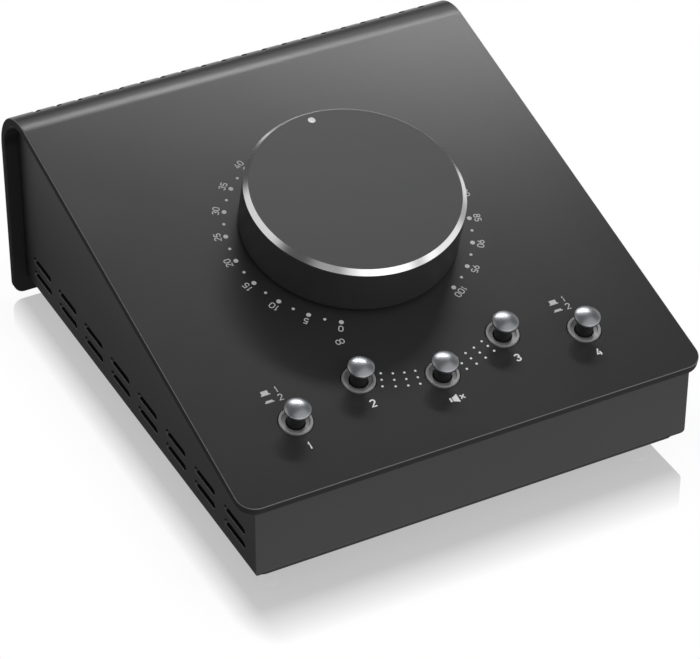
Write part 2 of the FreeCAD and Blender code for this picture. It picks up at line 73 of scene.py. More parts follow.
# Places read from the frame: the sloped panel, the knob's axis and the buttons
knobJoint = next(j for j in frame["joints"] if j["name"] == "knob_turn")
panelNormal = Vector(knobJoint["axis"]).normalized()
slopeAngle = math.atan2(-panelNormal.y, panelNormal.z)
upSlope = Vector((0, math.cos(slopeAngle), math.sin(slopeAngle)))
coverLow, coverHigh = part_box("top_cover")
caseLow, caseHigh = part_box("lower_case")
knobPlace = Vector(knobJoint["pos_m"])
knobRise = (knobPlace.y - coverLow.y) * math.tan(slopeAngle)
panelEdge = Vector((0, coverLow.y, knobPlace.z - knobRise))
panelMatrix = Matrix.Translation(panelEdge) @ Matrix.Rotation(slopeAngle, 4, "X")
knobMatrix = Matrix.Translation(knobPlace) @ Matrix.Rotation(slopeAngle, 4, "X")
buttonNames = ["source", "mono", "mute", "dim", "monitor"]


def panelSpot(node):
    # (across, up the slope) of a CAD node's middle, in metres on the panel
    low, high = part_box(node)
    middle = (low + high) / 2 - panelEdge
    return middle.x, middle.dot(upSlope)


buttonSpots = {name: panelSpot("collar_" + name) for name in buttonNames}
print("frame read, slope", round(math.degrees(slopeAngle), 2))


# Mesh work, done with Blender's own operators
def choose(pieces):
    # These pieces alone are selected, and the first one is active
    for item in bpy.context.view_layer.objects:
        item.select_set(False)
    for piece in pieces:
        piece.select_set(True)
    bpy.context.view_layer.objects.active = pieces[0]


def startEdit(piece):
    choose([piece])
    bpy.ops.object.mode_set(mode="EDIT")
    bpy.ops.mesh.select_all(action="SELECT")


def endEdit():
    bpy.ops.object.mode_set(mode="OBJECT")


def closeEdit():
    # Leaves edit mode with every face looking outwards
    bpy.ops.mesh.select_all(action="SELECT")
    bpy.ops.mesh.normals_make_consistent(inside=False)
    endEdit()


def pick(piece, mode, test):
    # Selects the vertices, edges or faces whose middle passes the test
    bpy.ops.mesh.select_mode(type=mode)
    bpy.ops.mesh.select_all(action="DESELECT")
    bpy.ops.object.mode_set(mode="OBJECT")
    mesh = piece.data
    if mode == "VERT":
        for vertex in mesh.vertices:
            vertex.select = test(vertex.co)
    elif mode == "EDGE":
        for edge in mesh.edges:
            ends = [mesh.vertices[k].co for k in edge.vertices]
            edge.select = test(ends[0], ends[1])
    else:
        for face in mesh.polygons:
            face.select = test(face.center, face.normal)
    bpy.ops.object.mode_set(mode="EDIT")


def applyPlace(piece, matrix=None):
    if matrix is not None:
        piece.matrix_world = matrix @ piece.matrix_world
    choose([piece])
    bpy.ops.object.transform_apply(location=True, rotation=True, scale=True)
    return piece


def addModifier(piece, kind, **settings):
    modifier = piece.modifiers.new(kind.title(), kind)
    for key, value in settings.items():
        setattr(modifier, key, value)
    choose([piece])
    bpy.ops.object.modifier_apply(modifier=modifier.name)
    return piece


def smooth(piece, angle=30):
    choose([piece])
    bpy.ops.object.shade_smooth_by_angle(angle=math.radians(angle))
    return addModifier(piece, "WEIGHTED_NORMAL", mode="FACE_AREA", weight=50, keep_sharp=True)


def joinPieces(pieces):
    choose(pieces)
    if len(pieces) > 1:
        bpy.ops.object.join()
    return pieces[0]


def turnPiece(name, rings, closed=False, segments=96):
    # A turned piece about Z from (radius, height) rings, in metres
    radius, height = rings[0]
    bpy.ops.mesh.primitive_circle_add(
        vertices=segments, radius=radius, fill_type="NOTHING", location=(0, 0, 0)
    )
    piece = bpy.context.object
    piece.name = name
    piece.data.name = name
    startEdit(piece)
    bpy.ops.transform.translate(value=(0, 0, height))
    for nextRadius, nextHeight in rings[1:]:
        bpy.ops.mesh.extrude_region_move(TRANSFORM_OT_translate={"value": (0, 0, nextHeight - height)})
        scale = nextRadius / radius
        bpy.ops.transform.resize(value=(scale, scale, 1), center_override=(0, 0, 0))
        radius, height = nextRadius, nextHeight
    bpy.ops.mesh.select_mode(type="EDGE")
    bpy.ops.mesh.select_all(action="DESELECT")
    bpy.ops.mesh.select_non_manifold()
    if closed:
        bpy.ops.mesh.bridge_edge_loops()
    else:
        bpy.ops.mesh.fill_holes(sides=0)
    closeEdit()
    return piece


def cutFrom(piece, cutters):
    cutter = joinPieces(cutters)
    addModifier(piece, "BOOLEAN", object=cutter, operation="DIFFERENCE", solver="EXACT", use_self=True)
    bpy.data.objects.remove(cutter)
    return piece


def roundEdges(piece, width):
    limits = {"limit_method": "ANGLE", "angle_limit": math.radians(50), "use_clamp_overlap": False}
    addModifier(piece, "BEVEL", width=width, segments=3, **limits)


def plainRod(radius, low, high, segments=48):
    bpy.ops.mesh.primitive_cylinder_add(
        vertices=segments, radius=radius, depth=high - low, location=(0, 0, (low + high) / 2)
    )
    return applyPlace(bpy.context.object)


def dress(piece, body, slotName, material, *nodes):
    piece.data.materials.clear()
    piece.data.materials.append(material)
    if nodes:
        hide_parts(*nodes)
    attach(piece, body)
    return piece


# Shader nodes, and shader maths written as Python expressions
def addNode(tree, kind, settings, inputs, output=0):
    made = tree.nodes.new(kind)
    for key, value in settings.items():
        setattr(made, key, value)
    for key, value in inputs.items():
        if isinstance(value, bpy.types.NodeSocket):
            tree.links.new(value, made.inputs[key])
        else:
            made.inputs[key].default_value = value
    return made.outputs[output]


class Socket:
    def __init__(self, shader, output):
        self.shader = shader
        self.output = output

    def maths(self, operation, first, second):
        return self.shader.node("ShaderNodeMath", {"operation": operation}, {0: first, 1: second})

    def __add__(self, other):
        return self.maths("ADD", self, other)

    def __radd__(self, other):
        return self.maths("ADD", other, self)

    def __sub__(self, other):
        return self.maths("SUBTRACT", self, other)

    def __rsub__(self, other):
        return self.maths("SUBTRACT", other, self)

    def __mul__(self, other):
        return self.maths("MULTIPLY", self, other)

    def __rmul__(self, other):
        return self.maths("MULTIPLY", other, self)

    def above(self, other):
        return self.maths("MAXIMUM", self, other)

    def root(self):
        return self.maths("POWER", self, 0.5)


class Finish:
    # A material: its settings go on the Principled shader, its patterns are nodes
    def __init__(self, name, **settings):
        self.material = bpy.data.materials.new(name)
        self.material.use_nodes = True
        self.tree = self.material.node_tree
        self.shader = self.tree.nodes["Principled BSDF"]
        for key, value in settings.items():
            self.shader.inputs[key.replace("_", " ")].default_value = value
        self.place = self.node("ShaderNodeTexCoord", {}, {}, "Object")

    def node(self, kind, settings, sockets, output=0):
        inputs = {}
        for key, value in sockets.items():
            inputs[key] = value.output if isinstance(value, Socket) else value
        return Socket(self, addNode(self.tree, kind, settings, inputs, output))

    def noise(self, size, detail=2.0, place=None):
        # A 0 to 1 noise whose grains are about size metres across
        sockets = {"Vector": place or self.place, "Scale": 1 / size, "Detail": detail}
        return self.node("ShaderNodeTexNoise", {}, sockets, "Fac")

    def stretched(self, scale, turn=(0, 0, 0), at=(0, 0, 0)):
        sockets = {"Vector": self.place, "Scale": scale, "Rotation": turn, "Location": at}
        return self.node("ShaderNodeMapping", {"vector_type": "TEXTURE"}, sockets)

    def mix(self, factor, first, second):
        sockets = {0: factor, 6: (*first, 1), 7: (*second, 1)}
        return self.node("ShaderNodeMix", {"data_type": "RGBA"}, sockets, 2)

    def ramp(self, value, start, end, first=0.0, last=1.0):
        # Goes from first to last while the value goes from start to end
        return self.node("ShaderNodeMapRange", {}, {0: value, 1: start, 2: end, 3: first, 4: last})

    def part(self, vector, axis):
        return self.node("ShaderNodeSeparateXYZ", {}, {0: vector}, axis)

    def facing(self, normal, way):
        settings = {"operation": "DOT_PRODUCT"}
        return self.node("ShaderNodeVectorMath", settings, {0: normal, 1: way}, "Value").above(0)

    def bump(self, height, strength, distance):
        sockets = {"Height": height, "Strength": strength, "Distance": distance}
        self.feed("Normal", self.node("ShaderNodeBump", {}, sockets))

    def feed(self, name, value):
        self.tree.links.new(value.output, self.shader.inputs[name])


def grey(value):
    return (value, value, value)


paint = {
    "panelGrey": 0.033,
    "caseGrey": 0.01,
    "panelRoughness": 0.31,
    "caseRoughness": 0.5,
    # A painted highlight on rounded edges, then painted shade on edge faces and faces looking down
    "paintedEdgeHighlight": 0.2,
    "paintedEdgeShade": 0.65,
    "plainTone": 0.72,
    "toneChange": 0.6,
    "grain": 0.00035,
    "cloud": 0.03,
    "bumpStrength": 0.35,
    "bumpHeight": 0.00002,
}


def powderCoat(name, shade, roughness, specular, edgeWays):
    # edgeWays: the ways the sheet's edges face. Those edges and the faces looking down are made rough and
    # darkened with painted shade; where they round into the faces they get a painted highlight
    finish = Finish(name, Specular_IOR_Level=specular)
    grain = finish.noise(paint["grain"], 3.0)
    cloud = finish.noise(paint["cloud"], 2.0)
    fleck = finish.noise(paint["grain"] * 2.5, 1.0)
    normal = finish.node("ShaderNodeTexCoord", {}, {}, "Normal")
    turned = 0
    for way in edgeWays:
        facing = finish.facing(normal, way)
        turned = facing * facing + turned
    turned = turned.root()
    # The edge faces and the faces looking down: rougher, and darkened below as painted shade
    edge = finish.ramp(turned, 0.9, 1.0).above(finish.ramp(finish.part(normal, "Z"), -0.15, -0.5))
    # A painted highlight: paler colour where the edges round into the faces
    paintedRoundHighlight = finish.ramp(turned, 0.2, 0.5) * finish.ramp(turned, 0.7, 0.95, 1.0, 0.0)
    mask = (grain * 0.5 + cloud * 0.3 + fleck * 0.2) * (1 - edge)
    tone = (paint["plainTone"] + mask * paint["toneChange"]) * shade
    # The tone is darkened on the edges as painted shade, and a painted highlight is added on the rounds
    tone = tone * (1 - edge * paint["paintedEdgeShade"]) + paintedRoundHighlight * paint["paintedEdgeHighlight"]
    finish.feed("Base Color", finish.mix(tone, grey(0.0), grey(1.0)))
    finish.feed("Roughness", roughness - 0.05 + grain * 0.06 + cloud * 0.04 + edge * (1 - roughness))
    finish.bump(grain * 0.6 + fleck * 0.4, paint["bumpStrength"], paint["bumpHeight"])
    return finish.material


def plainMetal(name, colour, roughness, grain=0.0004, wear=0.12, metallic=1.0):
    finish = Finish(name, Metallic=metallic)
    brushed = finish.noise(grain, 3.0)
    cloud = finish.noise(0.004, 2.0)
    dark = [c * (1 - wear) for c in colour]
    finish.feed("Base Color", finish.mix(brushed * 0.6 + cloud * 0.4, dark, colour))
    finish.feed("Roughness", roughness - 0.03 + brushed * 0.05 + cloud * 0.04)
    finish.bump(brushed, 0.15, 0.000008)
    return finish.material


def turnedMetal(name, colour, metallic, roughness, matrix, lineGap, lineDepth):
    # Fine rings left by turning, drawn by the distance from the knob's axis
    finish = Finish(name, Metallic=metallic, Specular_IOR_Level=0.5)
    angles = matrix.to_euler()
    local = finish.stretched((1, 1, 1), tuple(angles), tuple(matrix.translation))
    x, y, z = [finish.part(local, axis) for axis in "XYZ"]
    radius = (x * x + y * y).root()
    along = finish.node("ShaderNodeCombineXYZ", {}, {0: radius, 1: z, 2: 0.0})
    rings = finish.noise(lineGap, 2.0, along)
    cloud = finish.noise(0.006, 2.0)
    dark = [c * 0.86 for c in colour]
    finish.feed("Base Color", finish.mix(rings * 0.7 + cloud * 0.3, dark, colour))
    finish.feed("Roughness", roughness - 0.03 + rings * 0.04 + cloud * 0.03)
    finish.bump(rings, 0.25, lineDepth)
    return finish.material


def mouldedPlastic(name, colour, roughness, grain=0.0005, specular=0.4, glow=0.0):
    finish = Finish(name, Specular_IOR_Level=specular, Emission_Strength=glow)
    pebble = finish.noise(grain, 2.0)
    cloud = finish.noise(0.008, 2.0)
    lifted = [c * 1.25 + 0.002 for c in colour]
    finish.feed("Base Color", finish.mix(pebble * 0.5 + cloud * 0.5, colour, lifted))
    finish.feed("Roughness", roughness - 0.04 + pebble * 0.08)
    finish.bump(pebble, 0.2, 0.00001)
    return finish.material


def boardLaminate():
    finish = Finish("greenLaminate", Specular_IOR_Level=0.5)
    weave = finish.noise(0.0006, 1.0, finish.stretched((1, 0.15, 1)))
    cloud = finish.noise(0.01, 2.0)
    finish.feed("Base Color", finish.mix(weave * 0.5 + cloud * 0.5, (0.008, 0.09, 0.03), (0.02, 0.16, 0.06)))
    finish.feed("Roughness", 0.3 + weave * 0.1)
    finish.bump(weave, 0.15, 0.00001)
    return finish.material


def ribbonJacket():
    # Round cores side by side across the cable, the first one red
    pitch = 1.27 * millimetre
    finish = Finish("ribbonJacket", Specular_IOR_Level=0.4)
    across = finish.part(finish.place, "X")
    core = finish.node("ShaderNodeMath", {"operation": "PINGPONG"}, {0: across, 1: pitch / 2})
    first = finish.node("ShaderNodeMath", {"operation": "LESS_THAN"}, {0: across, 1: -9 * pitch})
    finish.feed("Base Color", finish.mix(first, (0.32, 0.33, 0.35), (0.45, 0.03, 0.02)))
    finish.feed("Roughness", 0.45 + finish.noise(0.002) * 0.1)
    finish.bump(core * 1000, 0.8, 0.0003)
    return finish.material


coverEdges = [(1, 0, 0), (-1, 0, 0), -upSlope]
coverPaint = powderCoat("coverPowderCoat", paint["panelGrey"], paint["panelRoughness"], 0.5, coverEdges)
casePaint = powderCoat("casePowderCoat", paint["caseGrey"], paint["caseRoughness"], 0.3, [(0, 0, 1)])
footRubber = mouldedPlastic("footRubber", grey(0.012), 0.8, 0.0004, 0.25)
steel = plainMetal("platedSteel", (0.5, 0.5, 0.51), 0.3)
blackSteel = plainMetal("blackSteel", (0.07, 0.07, 0.072), 0.42)
collarMetal = plainMetal("collarAnodised", (0.42, 0.42, 0.42), 0.5, metallic=0.45)
capMetal = plainMetal("capSatinChrome", (0.46, 0.47, 0.49), 0.32, 0.0012, 0.05)
blackPlastic = mouldedPlastic("blackMoulding", grey(0.014), 0.45)
laminate = boardLaminate()
brass = plainMetal("turnedBrass", (0.6, 0.42, 0.17), 0.3)
ribbonGrey = ribbonJacket()
knobBlack = turnedMetal("knobBlackAnodised", (0.035, 0.035, 0.035), 0.0, 0.45, knobMatrix, 0.00025, 0.000006)
knobBright = turnedMetal("knobDiamondCut", (0.78, 0.78, 0.79), 1.0, 0.18, knobMatrix, 0.00008, 0.000004)
knobGrey = turnedMetal("knobFaceAnodised", (0.062, 0.062, 0.063), 0.0, 0.5, knobMatrix, 0.00012, 0.000004)
# Both inks glow a little, as painted light that brightens the print
brightInk = mouldedPlastic("brightInk", grey(0.74), 0.6, 0.0003, 0.3, 0.15)
paleInk = mouldedPlastic("paleInk", grey(0.5), 0.6, 0.0003, 0.3, 0.1)
print("finishes made")


# Top cover: a flat sheet bent over the back, with its holes and slots
cover = {
    "thickness": 2.5 * millimetre,
    "bendRadius": 14.4 * millimetre,
    "panelCorner": 5.0 * millimetre,
    "flapCorner": 3.0 * millimetre,
    "buttonHole": 4.72 * millimetre,
    "bushingHole": 4.7 * millimetre,
    "jackHole": 4.85 * millimetre,
    "holeReach": 10.0 * millimetre,
    "slotCount": 20,
    "slotPitch": 6.215 * millimetre,
    "slotWidth": 1.9 * millimetre,
    "slotStart": math.radians(65),
    "slotTail": 3.0 * millimetre,
    "slotInner": 2.0 * millimetre,
    "edgeRound": 0.3 * millimetre,
}
bendCentreY = coverHigh.y - cover["bendRadius"]
bendRun = bendCentreY - coverLow.y
bendCentreZ = panelEdge.z + bendRun * math.tan(slopeAngle) - cover["bendRadius"] / math.cos(slopeAngle)
bendCentre = Vector((0, bendCentreY, bendCentreZ))


def slotCutters():
    width = cover["slotWidth"]
    reach = 2 * cover["bendRadius"]
    inner = cover["slotInner"]
    bpy.ops.mesh.primitive_plane_add(size=1, location=(0, 0, 0))
    slab = bpy.context.object
    slab.scale = (width, reach, 1)
    turn = Matrix.Rotation(cover["slotStart"], 4, "X")
    applyPlace(slab)
    applyPlace(slab, Matrix.Translation(bendCentre) @ turn @ Matrix.Translation((0, reach / 2 + inner, 0)))
    startEdit(slab)
    bpy.ops.mesh.spin(steps=12, angle=cover["slotStart"], center=bendCentre, axis=(1, 0, 0))
    bpy.ops.mesh.extrude_region_move(TRANSFORM_OT_translate={"value": (0, 0, -cover["slotTail"])})
    closeEdit()
    ends = [slab]
    for angle, drop in ((cover["slotStart"], 0), (0, cover["slotTail"])):
        end = plainRod(width / 2, inner, inner + reach, 24)
        aim = Matrix.Rotation(angle - math.pi / 2, 4, "X")
        applyPlace(end, Matrix.Translation(bendCentre - Vector((0, 0, drop))) @ aim)
        ends.append(end)
    one = joinPieces(ends)
    cutters = [one]
    first = -(cover["slotCount"] - 1) / 2 * cover["slotPitch"]
    for k in range(1, cover["slotCount"]):
        copy = one.copy()
        copy.data = one.data.copy()
        bpy.context.collection.objects.link(copy)
        applyPlace(copy, Matrix.Translation((first + k * cover["slotPitch"], 0, 0)))
        cutters.append(copy)
    applyPlace(one, Matrix.Translation((first, 0, 0)))
    return cutters


def holeCutters():
    cutters = []
    reach = cover["holeReach"]
    for across, up in buttonSpots.values():
        hole = plainRod(cover["buttonHole"], -reach, reach, 64)
        cutters.append(applyPlace(hole, panelMatrix @ Matrix.Translation((across, up, 0))))
    cutters.append(applyPlace(plainRod(cover["bushingHole"], -reach, reach), knobMatrix))
    for number in range(1, 9):
        low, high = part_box("jack_socket_%d" % number)
        hole = plainRod(cover["jackHole"], -reach, reach)
        place = Vector(((low.x + high.x) / 2, coverHigh.y, (low.z + high.z) / 2))
        cutters.append(applyPlace(hole, Matrix.Translation(place) @ Matrix.Rotation(math.pi / 2, 4, "X")))
    return cutters


def buildCover():
    halfWidth = coverHigh.x
    topLength = bendRun / math.cos(slopeAngle) - cover["bendRadius"] * math.tan(slopeAngle)
    bpy.ops.mesh.primitive_plane_add(size=1, location=(0, 0, 0))
    piece = bpy.context.object
    piece.name = "coverSheet"
    piece.scale = (2 * halfWidth, topLength, 1)
    applyPlace(piece)
    applyPlace(piece, panelMatrix @ Matrix.Translation((0, topLength / 2, 0)))
    startEdit(piece)
    rearLine = panelEdge.y + (topLength - 0.0001) * math.cos(slopeAngle)
    pick(piece, "EDGE", lambda a, b: min(a.y, b.y) > rearLine)
    bpy.ops.mesh.spin(steps=28, angle=math.pi / 2 + slopeAngle, center=bendCentre, axis=(1, 0, 0))
    bpy.ops.mesh.extrude_region_move(
        TRANSFORM_OT_translate={"value": (0, 0, coverLow.z - bendCentre.z)}
    )
    bpy.ops.mesh.select_all(action="SELECT")
    bpy.ops.mesh.remove_doubles(threshold=0.00001)
    pick(piece, "VERT", lambda p: p.y < panelEdge.y + 0.0001)
    bpy.ops.mesh.bevel(offset=cover["panelCorner"], segments=10, affect="VERTICES")
    pick(piece, "VERT", lambda p: p.z < coverLow.z + 0.0001)
    bpy.ops.mesh.bevel(offset=cover["flapCorner"], segments=8, affect="VERTICES")
    closeEdit()
    panelFace = max(piece.data.polygons, key=lambda face: face.area)
    outward = 1 if panelFace.normal.z > 0 else -1
    addModifier(piece, "SOLIDIFY", thickness=cover["thickness"], offset=-outward, use_even_offset=True)
    startEdit(piece)
    closeEdit()
    roundEdges(piece, cover["edgeRound"])
    cutFrom(piece, holeCutters() + slotCutters())
    smooth(piece, 50)
    return dress(piece, "case", "cover_paint", coverPaint, "top_cover")


buildCover()
print("cover made")


# Lower case: front and side walls under the cover, with a base flange
case = {
    "wall": 1.5 * millimetre,
    "edgeRadius": 2.2 * millimetre,
    "flange": 9.0 * millimetre,
    "ventCount": 8,
    "ventPitch": 17.35 * millimetre,
    "ventLength": 11.7 * millimetre,
    "ventHeight": 1.9 * millimetre,
    "ventReach": 200 * millimetre,
    "ventFirst": 13.6 * millimetre,
    "ventRow": 12.7 * millimetre,
    "ventRowGap": 4.5 * millimetre,
    "edgeRound": 0.2 * millimetre,
}


def ventCutters():
    radius = case["ventHeight"] / 2
    cutters = []
    for row in range(2):
        for k in range(case["ventCount"]):
            bpy.ops.mesh.primitive_cube_add(size=1, location=(0, 0, 0))
            slot = bpy.context.object
            slot.scale = (case["ventReach"], case["ventLength"], case["ventHeight"])
            applyPlace(slot)
            startEdit(slot)
            pick(slot, "EDGE", lambda a, b: abs(a.x - b.x) > 0.1)
            bpy.ops.mesh.bevel(offset=radius * 0.995, segments=6, affect="EDGES")
            endEdit()
            along = coverLow.y + case["ventFirst"] + k * case["ventPitch"]
            height = case["ventRow"] + row * case["ventRowGap"]
            cutters.append(applyPlace(slot, Matrix.Translation((0, along, height))))
    return cutters


def caseBlock(wall, spare=0.0):
    # The space under the cover, shrunk by a wall at the front, the sides and the bottom
    low = Vector((caseLow.x + wall, caseLow.y + wall, caseLow.z + wall))
    high = Vector((caseHigh.x - wall, caseHigh.y, caseHigh.z))
    size = high - low
    bpy.ops.mesh.primitive_cube_add(size=1, location=(low + high) / 2)
    piece = bpy.context.object
    piece.scale = (size.x, size.y, 4 * size.z)
    applyPlace(piece)
    startEdit(piece)
    bpy.ops.mesh.bisect(plane_co=low, plane_no=(0, 0, -1), clear_outer=True, use_fill=True)
    bpy.ops.mesh.select_all(action="SELECT")
    under = panelEdge - panelNormal * cover["thickness"]
    bpy.ops.mesh.bisect(plane_co=under, plane_no=panelNormal, clear_outer=True, use_fill=True)
    top = caseLow.z + 0.02
    pick(piece, "EDGE", lambda a, b: min(a.y, b.y) > high.y - 0.0001 and min(a.z, b.z) > top)
    inner = cover["bendRadius"] - cover["thickness"]
    run = inner * math.tan((math.pi / 2 + slopeAngle) / 2)
    bpy.ops.mesh.bevel(offset=run, segments=16, affect="EDGES")
    if wall == 0:
        base = low.z + 0.0001
        pick(piece, "EDGE", lambda a, b: max(a.z, b.z) < base and min(a.y, b.y) < high.y - 0.0001)
        bpy.ops.mesh.bevel(offset=case["edgeRadius"], segments=6, affect="EDGES")
    if spare:
        pick(piece, "FACE", lambda c, n: n.z > 0.05 or n.y > 0.9)
        bpy.ops.transform.translate(value=(0, spare, spare))
    closeEdit()
    return piece


def buildCase():
    piece = caseBlock(0)
    piece.name = "caseShell"
    inside = caseBlock(case["wall"], 3 * case["wall"])
    size = caseHigh - caseLow
    bpy.ops.mesh.primitive_cube_add(size=1, location=(0, (caseLow.y + caseHigh.y) / 2, caseLow.z))
    opening = bpy.context.object
    opening.scale = (size.x - 2 * case["flange"], size.y - 2 * case["flange"], 4 * case["wall"])
    applyPlace(opening)
    cutFrom(piece, [inside, opening] + ventCutters())
    roundEdges(piece, case["edgeRound"])
    smooth(piece, 50)
    return dress(piece, "case", "case_paint", casePaint, "lower_case")


buildCase()
print("case made")


# Knob: body, bright bevel and face with its pointer dimple, as rings in millimetres
knob = {
    "bodyRings": [
        (26.6, 1.0), (29.1, 1.0), (29.4, 1.1), (29.6, 1.4), (29.6, 5.0), (29.6, 10.0), (29.6, 14.0),
        (29.6, 14.4), (27.0, 14.4), (27.0, 12.4), (27.0, 8.0),
    ],
    "webRings": [(6.6, 14.38), (27.2, 14.38), (27.2, 12.4), (9.0, 12.4), (9.0, 5.6), (6.6, 5.6)],
    "ringRings": [
        (28.02, 14.4), (29.6, 14.4), (29.6, 14.44), (28.31, 15.7), (28.29, 15.66), (28.29, 15.3),
        (28.02, 15.2),
    ],
    "faceRings": [
        (26.0, 14.4), (28.0, 14.4), (28.0, 15.2), (28.27, 15.32), (28.27, 15.65), (27.0, 15.65),
        (0.5, 15.65),
    ],
    "dimplePlace": 26.0,
    "dimpleRings": [(0.5, 15.15), (0.8, 15.22), (1.0, 15.4), (1.1, 15.65), (1.1, 16.2)],
    "spotRings": [
        (0.2, 15.1), (0.78, 15.14), (1.02, 15.36), (1.05, 15.5), (0.95, 15.42), (0.6, 15.3), (0.2, 15.26),
    ],
}


def inMetres(rings):
    return [(radius * millimetre, height * millimetre) for radius, height in rings]


def buildKnob():
    body = turnPiece("knobShell", inMetres(knob["bodyRings"]), closed=True, segments=192)
    applyPlace(smooth(body, 25), knobMatrix)
    web = turnPiece("knobWeb", inMetres(knob["webRings"]), closed=True, segments=96)
    applyPlace(smooth(web, 25), knobMatrix)
    ring = turnPiece("knobBevel", inMetres(knob["ringRings"]), closed=True, segments=192)
    applyPlace(smooth(ring, 20), knobMatrix)
    face = turnPiece("knobDisc", inMetres(knob["faceRings"]), segments=192)
    dimple = turnPiece("dimpleCutter", inMetres(knob["dimpleRings"]), segments=48)
    applyPlace(dimple, Matrix.Translation((0, knob["dimplePlace"] * millimetre, 0)))
    cutFrom(face, [dimple])
    applyPlace(smooth(face, 25), knobMatrix)
    dress(joinPieces([body, web]), "knob", "knob_black", knobBlack, "knob_body")
    dress(ring, "knob", "knob_bright", knobBright, "knob_ring")
    dress(face, "knob", "knob_grey", knobGrey, "knob_face")
    spot = turnPiece("pointerSpot", inMetres(knob["spotRings"]), segments=32)
    applyPlace(spot, Matrix.Translation((0, knob["dimplePlace"] * millimetre, 0)))
    applyPlace(smooth(spot, 60), knobMatrix)
    spot.data.materials.append(brightInk)
    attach(spot, "knob")


buildKnob()
print("knob made")


# Push buttons: collar and mushroom cap, turned about each button's axis, in millimetres
button = {
    "collarRings": [
        (4.47, -3.2), (4.47, 0.22), (4.42, 0.34), (4.3, 0.4), (3.75, 0.4), (3.66, 0.36), (3.62, 0.25),
        (3.58, -0.02), (3.5, -0.06), (3.42, -0.08), (2.62, -0.36), (2.6, -0.45), (2.6, -3.2),
    ],
    "capRings": [
        (2.3, 3.9), (2.7, 3.9), (2.76, 3.94), (3.4, 4.55), (3.48, 4.66), (3.5, 4.8), (3.5, 5.26),
        (3.45, 5.37), (3.33, 5.45), (2.9, 5.68), (2.3, 5.93), (1.6, 6.12), (0.9, 6.24), (0.3, 6.28),
    ],
}


def buildButtons():
    for name in buttonNames:
        across, up = buttonSpots[name]
        place = panelMatrix @ Matrix.Translation((across, up, 0))
        collar = turnPiece("collarRing_" + name, inMetres(button["collarRings"]), closed=True, segments=72)
        applyPlace(smooth(collar, 25), place)
        dress(collar, "case", "collar_metal", collarMetal, "collar_" + name)
        cap = turnPiece("capDome_" + name, inMetres(button["capRings"]), segments=72)
        applyPlace(smooth(cap, 24), place)
        dress(cap, "button_" + name, "cap_chrome", capMetal, "cap_" + name)


buildButtons()
print("buttons made")


# Printing on the panel: dial dots, plain numbers and small signs, in millimetres
dial = {
    "dotRadius": 33.23,
    "numberRadius": 35.45,
    "startAngle": 240.0,
    "sweep": 300.0,
    "steps": 40,
    "bigDot": 0.66,
    "smallDot": 0.42,
    "numberHeight": 2.0,
    "numberWidth": 1.36,
    "numberWeight": 0.27,
    "boldWeight": 0.43,
    "digitWidth": 0.9,
    "oneWidth": 0.55,
    "digitGap": 0.36,
    "inkHeight": 0.04,
}
buttonMarks = [
    # number, across, up, width and height of the ink
    ("1", -42.2, 13.3, 0.95, 2.6),
    ("2", -21.1, 19.6, 1.75, 2.55),
    ("3", 21.1, 19.4, 1.75, 2.55),
    ("4", 42.1, 13.35, 1.75, 2.6),
]
stateMarks = [
    ("1", -42.3, 32.7, 0.8, 2.1),
    ("2", -42.3, 30.05, 1.4, 2.1),
    ("1", 42.1, 32.7, 0.8, 2.1),
    ("2", 42.1, 30.05, 1.4, 2.1),
]
signs = {
    # switch signs: where they are, then each bar's half width and its low and high edges
    "switchPlaces": (-45.6, 38.9),
    "switchBars": [(0.95, 32.1, 33.3), (1.3, 31.8, 32.12), (0.95, 29.6, 30.05), (1.3, 29.3, 29.62)],
    "muteBox": [(-2.2, 12.55), (-1.65, 12.55), (-1.65, 13.85), (-2.2, 13.85)],
    "muteHorn": [(-1.4, 12.6), (-0.7, 12.3), (0.25, 11.85), (0.25, 14.55), (-0.7, 14.1), (-1.4, 13.8)],
    "crossPlace": (1.4, 13.2),
    "crossReach": 0.85,
    "crossWeight": 0.32,
    "loopPlaces": [(-20.45, 40.85), (-19.35, 40.85)],
    "loopSize": (0.68, 0.85),
    "loopWeight": 0.26,
}
dotRows = {
    # three rows between the buttons: the first dot, and the steps from column to column and row to row
    "columns": 4,
    "rows": 3,
    "first": (6.05, 25.15),
    "columnStep": (2.92, 0.36),
    "columnCurve": 0.16,
    "rowStep": (0.38, -2.13),
    "rowSpread": (0.13, 0.04),
    "radius": 0.33,
}


def printed(piece, name, ink):
    piece.name = name
    piece.data.name = name
    piece.data.materials.clear()
    piece.data.materials.append(ink)
    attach(piece, "case")
    return piece


def flatShape(points):
    # A thin closed outline from a ring of vertices
    bpy.ops.mesh.primitive_circle_add(
        vertices=len(points), radius=1, fill_type="NGON", location=(0, 0, 0)
    )
    piece = bpy.context.object
    half = dial["inkHeight"] * millimetre / 2
    for vertex, (across, up) in zip(piece.data.vertices, points):
        vertex.co = (across * millimetre, up * millimetre, -half)
    startEdit(piece)
    bpy.ops.mesh.extrude_region_move(TRANSFORM_OT_translate={"value": (0, 0, 2 * half)})
    closeEdit()
    return piece


def arc(x, y, wide, tall, start, end, steps=6):
    # Points on part of an oval, from one angle in degrees to another
    points = []
    for k in range(steps + 1):
        angle = math.radians(start + (end - start) * k / steps)
        points.append((x + wide * math.cos(angle), y + tall * math.sin(angle)))
    return points


